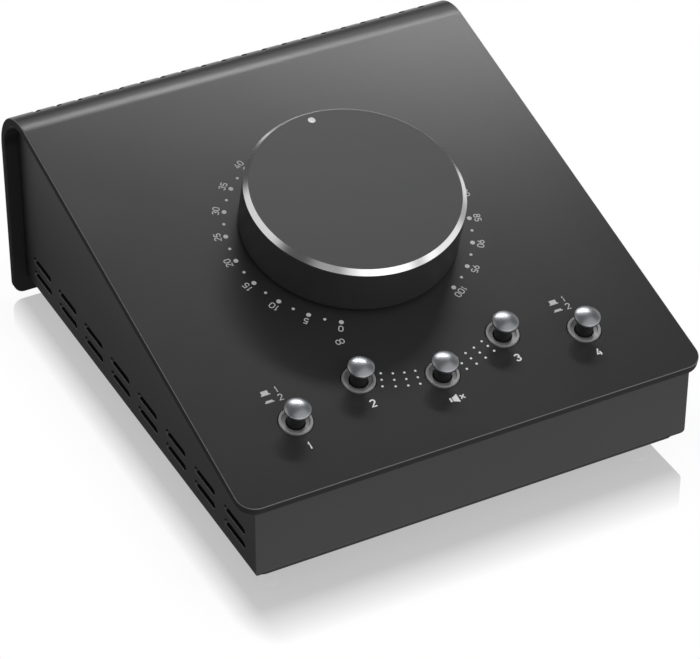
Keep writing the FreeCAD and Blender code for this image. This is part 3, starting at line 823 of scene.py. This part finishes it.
def strokes(digit):
    # The middle lines of a digit, in a box from (0, 0) to (1, 1)
    bowl = arc(0.5, 0.72, 0.5, 0.28, 0, 180) + arc(0.5, 0.28, 0.5, 0.28, 180, 360)
    shapes = {
        "0": [bowl + bowl[:1]],
        "1": [[(0.15, 0.72), (0.62, 1), (0.62, 0)]],
        "2": [arc(0.5, 0.72, 0.47, 0.28, 165, -25) + [(0, 0), (1, 0)]],
        "3": [arc(0.45, 0.76, 0.47, 0.24, 165, -90), arc(0.48, 0.27, 0.5, 0.27, 90, -165)],
        "4": [[(0.6, 1), (0, 0.26), (1, 0.26)], [(0.72, 0.58), (0.72, 0)]],
        "5": [[(0.92, 1), (0.1, 1), (0.06, 0.52)] + arc(0.5, 0.3, 0.48, 0.3, 115, -160)],
        "6": [[(0.68, 1), (0.1, 0.5)], arc(0.5, 0.3, 0.48, 0.3, 0, 360, 14)],
        "7": [[(0, 1), (0.98, 1), (0.36, 0)]],
        "8": [arc(0.5, 0.77, 0.42, 0.23, -90, 270, 14), arc(0.5, 0.27, 0.5, 0.27, 90, 450, 14)],
        "9": [[(0.32, 0), (0.9, 0.5)], arc(0.5, 0.7, 0.48, 0.3, 0, 360, 14)],
    }
    return shapes[digit]


def strokeShape(points, weight):
    # One pen stroke as a thin closed shape, its corners mitred
    sides = []
    for side in (1, -1):
        edge = []
        for k, (x, y) in enumerate(points):
            before = Vector(points[max(k - 1, 0)])
            after = Vector(points[min(k + 1, len(points) - 1)])
            here = Vector((x, y))
            first = (here - before).normalized() if k else (after - here).normalized()
            second = (after - here).normalized() if k < len(points) - 1 else first
            if points[0] == points[-1] and k in (0, len(points) - 1):
                first = (here - Vector(points[-2])).normalized()
                second = (Vector(points[1]) - here).normalized()
            normal = Vector((-first.y - second.y, first.x + second.x)).normalized()
            reach = min(1.6, 1 / max(0.3, normal.dot(Vector((-first.y, first.x)))))
            edge.append(here + normal * side * reach * weight / 2)
        sides.append(edge)
    return flatShape([tuple(p) for p in sides[0] + sides[1][::-1]])


def lettering(number, width, height, weight):
    # A number in pen strokes, centred on the origin, its ink as wide and high as given
    gap = dial["digitGap"]
    wide = [dial["oneWidth"] if digit == "1" else dial["digitWidth"] for digit in number]
    unit = (width - weight) / (sum(wide) + gap * (len(number) - 1))
    made = []
    start = -(width - weight) / 2
    tall = height - weight
    for digit, share in zip(number, wide):
        for line in strokes(digit):
            placed = []
            for x, y in line:
                spot = (start + x * share * unit, (y - 0.5) * tall)
                if not placed or math.dist(spot, placed[-1]) > 0.02:
                    placed.append(spot)
            made.append(strokeShape(placed, weight))
        start += (share + gap) * unit
    return joinPieces(made)


def dot(across, up, radius, segments=20):
    ring = [2 * math.pi * k / segments for k in range(segments)]
    return flatShape([(across + radius * math.cos(a), up + radius * math.sin(a)) for a in ring])


def onPanel(piece, across=0.0, up=0.0, turn=0.0):
    place = Matrix.Translation((across * millimetre, up * millimetre, 0)) @ Matrix.Rotation(turn, 4, "Z")
    return applyPlace(piece, panelMatrix @ place)


def printDial():
    centreUp = (knobPlace - panelEdge).dot(upSlope) / millimetre
    dots, numbers = [], []
    for k in range(dial["steps"] + 1):
        angle = math.radians(dial["startAngle"] - dial["sweep"] * k / dial["steps"])
        across, up = math.cos(angle), math.sin(angle)
        size = dial["smallDot"] if k % 2 else dial["bigDot"]
        dots.append(onPanel(dot(across * dial["dotRadius"], centreUp + up * dial["dotRadius"], size)))
        if k % 2 == 0:
            value = str(k * 5 // 2)
            width = dial["numberWidth"] * len(value)
            mark = lettering(value, width, dial["numberHeight"], dial["numberWeight"])
            reach = dial["numberRadius"]
            numbers.append(onPanel(mark, across * reach, centreUp + up * reach, angle - math.pi / 2))
    printed(joinPieces(dots), "dialDots", paleInk)
    printed(joinPieces(numbers), "dialNumbers", paleInk)


def ovalLoop(across, up, radius, reach, weight, segments=28):
    # A printed loop: an outline with a hole
    outer, inner = [], []
    for k in range(segments):
        angle = 2 * math.pi * k / segments
        x, y = math.cos(angle), math.sin(angle)
        outer.append((across + x * radius, up + y * reach))
        inner.append((across + x * (radius - weight), up + y * (reach - weight)))
    rim = flatShape(outer)
    hole = flatShape(inner)
    applyPlace(hole, Matrix.Diagonal((1, 1, 4, 1)))
    return cutFrom(rim, [hole])


def bar(across, half, low, high):
    left, right = across - half, across + half
    return flatShape([(left, low), (right, low), (right, high), (left, high)])


def printMute():
    # A loudspeaker with a cross beside it
    made = [flatShape(signs["muteBox"]), flatShape(signs["muteHorn"])]
    across, up = signs["crossPlace"]
    place = Matrix.Translation((across * millimetre, up * millimetre, 0))
    half = signs["crossWeight"] / 2
    for turn in (math.pi / 4, -math.pi / 4):
        piece = bar(0, signs["crossReach"], -half, half)
        made.append(applyPlace(piece, place @ Matrix.Rotation(turn, 4, "Z")))
    printed(joinPieces([onPanel(piece) for piece in made]), "muteSign", brightInk)


def printSigns():
    made = []
    for across in signs["switchPlaces"]:
        made += [bar(across, *edges) for edges in signs["switchBars"]]
    printMute()
    for across, up in signs["loopPlaces"]:
        made.append(ovalLoop(across, up, *signs["loopSize"], signs["loopWeight"]))
    printed(joinPieces([onPanel(piece) for piece in made]), "panelSigns", paleInk)


def dotInRow(side, column, row):
    # The rows curve from one button to the next
    firstAcross, firstUp = dotRows["first"]
    stepAcross, stepUp = dotRows["columnStep"]
    rowAcross, rowUp = dotRows["rowStep"]
    spreadAcross, spreadUp = dotRows["rowSpread"]
    across = firstAcross + stepAcross * column + row * (rowAcross + spreadAcross * column)
    up = firstUp + stepUp * column + dotRows["columnCurve"] * column ** 2
    up += row * (rowUp + spreadUp * column)
    return dot(side * across, up, dotRows["radius"], 16)


def printDots():
    made = []
    for side in (-1, 1):
        for column in range(dotRows["columns"]):
            made += [onPanel(dotInRow(side, column, row)) for row in range(dotRows["rows"])]
    printed(joinPieces(made), "buttonDots", brightInk)


def printNumbers(name, marks, weight, ink):
    made = []
    for number, across, up, width, height in marks:
        made.append(onPanel(lettering(number, width, height, weight), across, up))
    printed(joinPieces(made), name, ink)


printDial()
printSigns()
printDots()
printNumbers("buttonNumbers", buttonMarks, dial["boldWeight"], brightInk)
printNumbers("stateNumbers", stateMarks, dial["numberWeight"], paleInk)
print("printing made")


# CAD nodes that are shown as they are
nodeFinishes = {
    "bottom_plate": casePaint,
    "rubber_feet": footRubber,
    "front_posts": steel,
    "rear_posts": steel,
    "board_standoffs": steel,
    "case_screws": blackSteel,
    "board_screws": blackSteel,
    "main_board": laminate,
    "jack_board": laminate,
    "return_springs": steel,
    "knob_hub": brass,
    "knob_grub_screw": blackSteel,
    "control_shaft": steel,
    "control_wiper": brass,
    "control_housing": steel,
    "control_can": steel,
    "control_track": blackPlastic,
    "control_washer": steel,
    "control_nut": steel,
    "jack_washers": steel,
    "jack_nuts": steel,
    "ribbon_sockets": blackPlastic,
    "ribbon_cable": ribbonGrey,
}
for name in buttonNames:
    nodeFinishes["plunger_" + name] = blackPlastic
    nodeFinishes["switch_" + name] = blackPlastic
for number in range(1, 9):
    nodeFinishes["jack_socket_%d" % number] = blackPlastic
for name, material in nodeFinishes.items():
    node = frame["nodes"][name]
    node.data.materials.clear()
    node.data.materials.append(material)
print("CAD nodes dressed")


# Stage: a white floor with a faint mirror image and a soft shadow close to the object
stage = {
    "size": 6.0,
    "mirror": 0.44,
    "shadow": 0.16,
    "shadowReach": 0.025,
    "clear": 0.0022,
    "faded": 0.017,
    "sideStretch": 1.9,
    "drop": 0.00005,
    "polish": 0.02,
    "bounce": 0.3,
    "frontGlow": 1.8,
    "sideGlow": 0.3,
    "frontLine": (-0.07, -0.08),
    "farRing": (0.06, 0.12),
}


def buildStage():
    bpy.ops.mesh.primitive_plane_add(size=stage["size"], location=(0, 0, -stage["drop"]))
    floor = bpy.context.object
    floor.name = "floor"
    finish = Finish("floorWhite")
    tree = finish.tree
    tree.nodes.remove(finish.shader)
    parts = [finish.part(finish.place, axis) for axis in "XY"]
    outside = []
    for part, half in zip(parts, (caseHigh.x, cadBox[1].y)):
        distance = finish.node("ShaderNodeMath", {"operation": "ABSOLUTE"}, {0: part}) - half
        outside.append(distance.above(0))
    aside, ahead = outside[0] * stage["sideStretch"], outside[1]
    distance = (aside * aside + ahead * ahead).root()
    mirror = finish.ramp(distance, stage["clear"], stage["faded"], stage["mirror"], 0.0)
    # Seen only in reflections, the floor close to the object is painted: brighter than white in front,
    # painted shade at the sides, and plain white further away
    near = finish.ramp(parts[1], *stage["frontLine"], stage["sideGlow"], stage["frontGlow"])
    away = finish.ramp(distance, *stage["farRing"])
    glow = near + (1 - near) * away
    sockets = {"Distance": stage["shadowReach"]}
    openSky = finish.node("ShaderNodeAmbientOcclusion", {"samples": 8}, sockets, "AO")
    lit = 1 - stage["shadow"] + openSky * stage["shadow"]
    white = finish.node("ShaderNodeEmission", {}, {"Color": (1, 1, 1, 1), "Strength": lit})
    dimmer = finish.node("ShaderNodeEmission", {}, {"Color": (1, 1, 1, 1), "Strength": glow})
    matt = finish.node("ShaderNodeBsdfDiffuse", {}, {"Color": (*grey(stage["bounce"]), 1)})
    polish = {"Color": (1, 1, 1, 1), "Roughness": stage["polish"]}
    gloss = finish.node("ShaderNodeBsdfGlossy", {}, polish)
    rays = tree.nodes.new("ShaderNodeLightPath").outputs
    camera = Socket(finish, rays["Is Camera Ray"]).above(Socket(finish, rays["Is Transmission Ray"]))
    glossy = Socket(finish, rays["Is Glossy Ray"])
    mirrored = finish.node("ShaderNodeMixShader", {}, {0: mirror, 1: white, 2: gloss})
    other = finish.node("ShaderNodeMixShader", {}, {0: glossy, 1: matt, 2: dimmer})
    surface = finish.node("ShaderNodeMixShader", {}, {0: camera, 1: other, 2: mirrored})
    tree.links.new(surface.output, tree.nodes["Material Output"].inputs["Surface"])
    floor.data.materials.append(finish.material)


# Light from all round: a dim base with soft patches, each a heading, a height, an inner and
# an outer edge in degrees, and a strength
surround = {
    "base": 0.1,
    "patches": [
        (62, 37, 10, 20, 0.9),
        (150, 26, 20, 36, 0.78),
        (-132, 24, 6, 18, 0.4),
        (-88, 16, 22, 34, 1.0),
        (-28, 6, 16, 30, 1.0),
        (20, 2, 16, 32, 0.35),
    ],
}


def buildWorld():
    world = bpy.data.worlds.new("studio")
    world.use_nodes = True
    bpy.context.scene.world = world
    tree = world.node_tree
    background = tree.nodes["Background"]

    direction = addNode(tree, "ShaderNodeTexCoord", {}, {}, "Generated")
    total = surround["base"]
    for heading, height, inner, outer, strength in surround["patches"]:
        turn = Matrix.Rotation(math.radians(heading), 3, "Z") @ Matrix.Rotation(-math.radians(height), 3, "Y")
        aim = {0: direction, 1: turn @ Vector((1, 0, 0))}
        facing = addNode(tree, "ShaderNodeVectorMath", {"operation": "DOT_PRODUCT"}, aim, "Value")
        far, near = math.cos(math.radians(outer)), math.cos(math.radians(inner))
        edges = {0: facing, 1: far, 2: near, 3: 0.0, 4: strength}
        patch = addNode(tree, "ShaderNodeMapRange", {"interpolation_type": "SMOOTHSTEP"}, edges)
        total = addNode(tree, "ShaderNodeMath", {"operation": "ADD"}, {0: total, 1: patch})
    tree.links.new(total, background.inputs["Strength"])
    background.inputs["Color"].default_value = (1, 1, 1, 1)
    rays = tree.nodes.new("ShaderNodeLightPath").outputs
    direct = {0: rays["Is Camera Ray"], 1: rays["Is Transmission Ray"]}
    seen = addNode(tree, "ShaderNodeMath", {"operation": "MAXIMUM"}, direct)
    white = addNode(tree, "ShaderNodeBackground", {}, {"Color": (1, 1, 1, 1)})
    mix = addNode(tree, "ShaderNodeMixShader", {}, {0: seen, 1: background.outputs[0], 2: white})
    tree.links.new(mix, tree.nodes["World Output"].inputs["Surface"])


# Soft lamps: place, size and power
lamps = [
    ("rearStrip", (0.19, 0.3, 0.415), (0.3, 0.04), 0.8),
    ("frontFill", (0.25, -0.6, 0.75), (1.2, 1.2), 2.2),
]


def buildLamps():
    target = (cadBox[0] + cadBox[1]) / 2
    for name, place, size, power in lamps:
        bpy.ops.object.light_add(type="AREA", location=place)
        lamp = bpy.context.object
        lamp.name = name
        lamp.data.shape = "RECTANGLE"
        lamp.data.size, lamp.data.size_y = size
        lamp.data.energy = power
        lamp.visible_camera = False
        lamp.rotation_mode = "QUATERNION"
        lamp.rotation_quaternion = (target - Vector(place)).to_track_quat("-Z", "Y")


# Camera, at the photograph's place: aim, angles and lens worked out from the case's edges
camera = {
    "azimuth": math.radians(-27.674),
    "elevation": math.radians(36.648),
    "roll": math.radians(0.137),
    "aim": (0.0, -18.78, 32.0),
    "offset": (6.459, -5.248, 875.14),
    "lens": 169.756,
    "sensorWidth": 36.0,
    "shiftUp": 0.0008,
    "clipStart": 0.01,
}


def buildCamera():
    a, e, r = camera["azimuth"], camera["elevation"], camera["roll"]
    back = Vector((math.sin(a) * math.cos(e), -math.cos(a) * math.cos(e), math.sin(e)))
    right = Vector((0, 0, 1)).cross(back).normalized()
    down = right.cross(back)
    rolledRight = right * math.cos(r) - down * math.sin(r)
    rolledDown = right * math.sin(r) + down * math.cos(r)
    x, y, z = [value * millimetre for value in camera["offset"]]
    place = Vector(camera["aim"]) * millimetre - rolledRight * x - rolledDown * y + back * z
    bpy.ops.object.camera_add(location=(0, 0, 0))
    view = bpy.context.object
    view.data.lens = camera["lens"]
    view.data.sensor_width = camera["sensorWidth"]
    view.data.shift_y = camera["shiftUp"]
    view.data.clip_start = camera["clipStart"]
    matrix = Matrix((rolledRight, -rolledDown, back)).transposed().to_4x4()
    view.matrix_world = Matrix.Translation(place) @ matrix
    bpy.context.scene.camera = view


buildStage()
buildWorld()
buildLamps()
buildCamera()
bpy.context.scene.view_settings.view_transform = "Standard"
print("stage, lamps and camera made")
